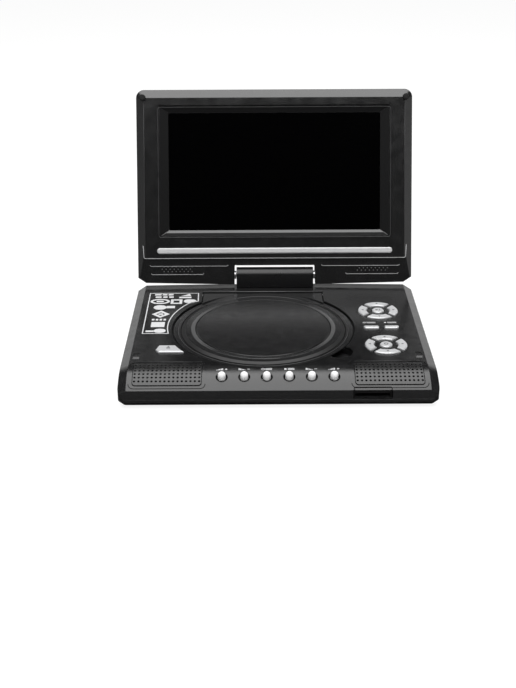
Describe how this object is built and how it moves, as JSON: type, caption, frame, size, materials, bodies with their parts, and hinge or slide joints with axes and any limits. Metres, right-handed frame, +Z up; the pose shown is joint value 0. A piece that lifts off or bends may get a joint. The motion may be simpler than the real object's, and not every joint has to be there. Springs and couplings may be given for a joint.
{
  "type": "portable disc player",
  "caption": "Clamshell portable video player with a round top-loading disc door, key pads, speakers along a rolled front edge and a screen that tilts and swivels.",
  "frame": {"origin": "middle of the width and of the depth with the screen leaning back as stored, on the table under the rubber feet", "axes": "+X to the user's right across the player, +Y from its front edge to its back, +Z up from the table"},
  "size_m": [0.226, 0.236, 0.1718],
  "materials": {
    "case_dark": "satin",
    "grille_dark": "satin",
    "door_dark": "semi-gloss",
    "well_black": "matte",
    "key_silver": "metallic satin",
    "screen_frame_dark": "semi-gloss",
    "display_black": "dark matte glass",
    "tray_white": "matte",
    "rubber_black": "matte",
    "hinge_black": "semi-gloss",
    "steel": "satin",
    "drive_black": "matte",
    "hub_white": "satin",
    "lens_glass": "clear",
    "board_green": "satin",
    "cone_black": "paper",
    "battery_grey": "matte",
    "socket_black": "matte"
  },
  "bodies": {
    "base": {"bottom_case": "case_dark", "top_case": "case_dark", "speaker_grille_left": "grille_dark", "speaker_grille_right": "grille_dark", "speaker_left": "cone_black", "speaker_right": "cone_black", "rubber_feet": "rubber_black", "case_screws": "steel", "disc_well": "well_black", "drive_chassis": "steel", "guide_rods": "steel", "spindle_motor": "steel", "sled_motor": "steel", "door_hinge_pins": "steel", "main_board": "board_green", "key_board": "board_green", "switch_board": "board_green", "battery_pack": "battery_grey", "card_reader": "socket_black", "audio_jacks": "socket_black", "power_inlet": "socket_black"},
    "turntable": {"turntable": "drive_black", "disc_hub": "hub_white"},
    "pickup": {"pickup_sled": "drive_black", "objective_lens": "lens_glass"},
    "lead_screw": {"lead_screw": "steel"},
    "door": {"disc_door": "door_dark"},
    "open_button": {"open_button": "key_silver"},
    "door_latch": {"door_latch": "drive_black"},
    "power_switch": {"power_switch": "drive_black"},
    "swivel": {"swivel_block": "hinge_black", "swivel_washer": "steel", "hinge_shafts": "steel"},
    "screen": {"screen_bezel": "screen_frame_dark", "screen_cover": "screen_frame_dark", "lcd_panel": "display_black", "lcd_backlight": "tray_white", "trim_bar": "key_silver", "lid_buffers": "rubber_black", "hinge_brackets": "steel"},
    "upper_pad_back_key": {"upper_pad_back_key": "key_silver"},
    "upper_pad_left_key": {"upper_pad_left_key": "key_silver"},
    "upper_pad_front_key": {"upper_pad_front_key": "key_silver"},
    "upper_pad_right_key": {"upper_pad_right_key": "key_silver"},
    "upper_pad_centre_key": {"upper_pad_centre_key": "key_silver"},
    "lower_pad_back_key": {"lower_pad_back_key": "key_silver"},
    "lower_pad_left_key": {"lower_pad_left_key": "key_silver"},
    "lower_pad_front_key": {"lower_pad_front_key": "key_silver"},
    "lower_pad_right_key": {"lower_pad_right_key": "key_silver"},
    "lower_pad_centre_key": {"lower_pad_centre_key": "key_silver"},
    "menu_key_left": {"menu_key_left": "key_silver"},
    "menu_key_right": {"menu_key_right": "key_silver"},
    "round_key_1": {"round_key_1": "key_silver"},
    "round_key_2": {"round_key_2": "key_silver"},
    "round_key_3": {"round_key_3": "key_silver"},
    "round_key_4": {"round_key_4": "key_silver"},
    "round_key_5": {"round_key_5": "key_silver"},
    "round_key_6": {"round_key_6": "key_silver"}
  },
  "joints": [
    {"name": "turntable_spin", "type": "hinge", "parent": "base", "child": "turntable", "pos_m": [-0.0101, -0.02786, 0], "axis": [0, 0, 1], "continuous": true},
    {"name": "pickup_slide", "type": "slide", "parent": "base", "child": "pickup", "axis": [0, -1, 0], "range_m": [0, 0.034]},
    {"name": "lead_screw_turn", "type": "hinge", "parent": "base", "child": "lead_screw", "pos_m": [0.0149, -0.11796, 0.009], "axis": [0, 1, 0], "range_deg": [0, 4081]},
    {"name": "door_hinge", "type": "hinge", "parent": "base", "child": "door", "pos_m": [0, 0.03899, 0.0193], "axis": [1, 0, 0], "range_deg": [-75, 0]},
    {"name": "open_press", "type": "slide", "parent": "base", "child": "open_button", "axis": [0, 0, -1], "range_m": [0, 0.0008], "stiffness_N_per_m": 300, "springref_m": -0.0005},
    {"name": "latch_slide", "type": "slide", "parent": "base", "child": "door_latch", "axis": [-0.8694, -0.4942, 0], "range_m": [0, 0.0008]},
    {"name": "power_slide", "type": "slide", "parent": "base", "child": "power_switch", "axis": [0, 1, 0], "range_m": [0, 0.003]},
    {"name": "swivel_turn", "type": "hinge", "parent": "base", "child": "swivel", "pos_m": [0, 0.05434, 0.0215], "axis": [0, 0, 1], "range_deg": [0, 180]},
    {"name": "screen_tilt", "type": "hinge", "parent": "swivel", "child": "screen", "pos_m": [0, 0.05744, 0.03006], "axis": [1, 0, 0], "range_deg": [-45, 111]},
    {"name": "upper_pad_back_key_press", "type": "slide", "parent": "base", "child": "upper_pad_back_key", "axis": [0, 0, -1], "range_m": [0, 0.0008], "stiffness_N_per_m": 300, "springref_m": -0.0005},
    {"name": "upper_pad_left_key_press", "type": "slide", "parent": "base", "child": "upper_pad_left_key", "axis": [0, 0, -1], "range_m": [0, 0.0008], "stiffness_N_per_m": 300, "springref_m": -0.0005},
    {"name": "upper_pad_front_key_press", "type": "slide", "parent": "base", "child": "upper_pad_front_key", "axis": [0, 0, -1], "range_m": [0, 0.0008], "stiffness_N_per_m": 300, "springref_m": -0.0005},
    {"name": "upper_pad_right_key_press", "type": "slide", "parent": "base", "child": "upper_pad_right_key", "axis": [0, 0, -1], "range_m": [0, 0.0008], "stiffness_N_per_m": 300, "springref_m": -0.0005},
    {"name": "upper_pad_centre_key_press", "type": "slide", "parent": "base", "child": "upper_pad_centre_key", "axis": [0, 0, -1], "range_m": [0, 0.0008], "stiffness_N_per_m": 300, "springref_m": -0.0005},
    {"name": "lower_pad_back_key_press", "type": "slide", "parent": "base", "child": "lower_pad_back_key", "axis": [0, 0, -1], "range_m": [0, 0.0008], "stiffness_N_per_m": 300, "springref_m": -0.0005},
    {"name": "lower_pad_left_key_press", "type": "slide", "parent": "base", "child": "lower_pad_left_key", "axis": [0, 0, -1], "range_m": [0, 0.0008], "stiffness_N_per_m": 300, "springref_m": -0.0005},
    {"name": "lower_pad_front_key_press", "type": "slide", "parent": "base", "child": "lower_pad_front_key", "axis": [0, 0, -1], "range_m": [0, 0.0008], "stiffness_N_per_m": 300, "springref_m": -0.0005},
    {"name": "lower_pad_right_key_press", "type": "slide", "parent": "base", "child": "lower_pad_right_key", "axis": [0, 0, -1], "range_m": [0, 0.0008], "stiffness_N_per_m": 300, "springref_m": -0.0005},
    {"name": "lower_pad_centre_key_press", "type": "slide", "parent": "base", "child": "lower_pad_centre_key", "axis": [0, 0, -1], "range_m": [0, 0.0008], "stiffness_N_per_m": 300, "springref_m": -0.0005},
    {"name": "menu_key_left_press", "type": "slide", "parent": "base", "child": "menu_key_left", "axis": [0, 0, -1], "range_m": [0, 0.0008], "stiffness_N_per_m": 300, "springref_m": -0.0005},
    {"name": "menu_key_right_press", "type": "slide", "parent": "base", "child": "menu_key_right", "axis": [0, 0, -1], "range_m": [0, 0.0008], "stiffness_N_per_m": 300, "springref_m": -0.0005},
    {"name": "round_key_1_press", "type": "slide", "parent": "base", "child": "round_key_1", "axis": [0, 0.3633, -0.9317], "range_m": [0, 0.0008], "stiffness_N_per_m": 300, "springref_m": -0.0005},
    {"name": "round_key_2_press", "type": "slide", "parent": "base", "child": "round_key_2", "axis": [0, 0.3633, -0.9317], "range_m": [0, 0.0008], "stiffness_N_per_m": 300, "springref_m": -0.0005},
    {"name": "round_key_3_press", "type": "slide", "parent": "base", "child": "round_key_3", "axis": [0, 0.3633, -0.9317], "range_m": [0, 0.0008], "stiffness_N_per_m": 300, "springref_m": -0.0005},
    {"name": "round_key_4_press", "type": "slide", "parent": "base", "child": "round_key_4", "axis": [0, 0.3633, -0.9317], "range_m": [0, 0.0008], "stiffness_N_per_m": 300, "springref_m": -0.0005},
    {"name": "round_key_5_press", "type": "slide", "parent": "base", "child": "round_key_5", "axis": [0, 0.3633, -0.9317], "range_m": [0, 0.0008], "stiffness_N_per_m": 300, "springref_m": -0.0005},
    {"name": "round_key_6_press", "type": "slide", "parent": "base", "child": "round_key_6", "axis": [0, 0.3633, -0.9317], "range_m": [0, 0.0008], "stiffness_N_per_m": 300, "springref_m": -0.0005}
  ],
  "couplings": [
    {"joint": "lead_screw_turn", "follows": "pickup_slide", "rad_per_m": 2094.4},
    {"joint": "latch_slide", "follows": "open_press", "ratio": 1}
  ]
}
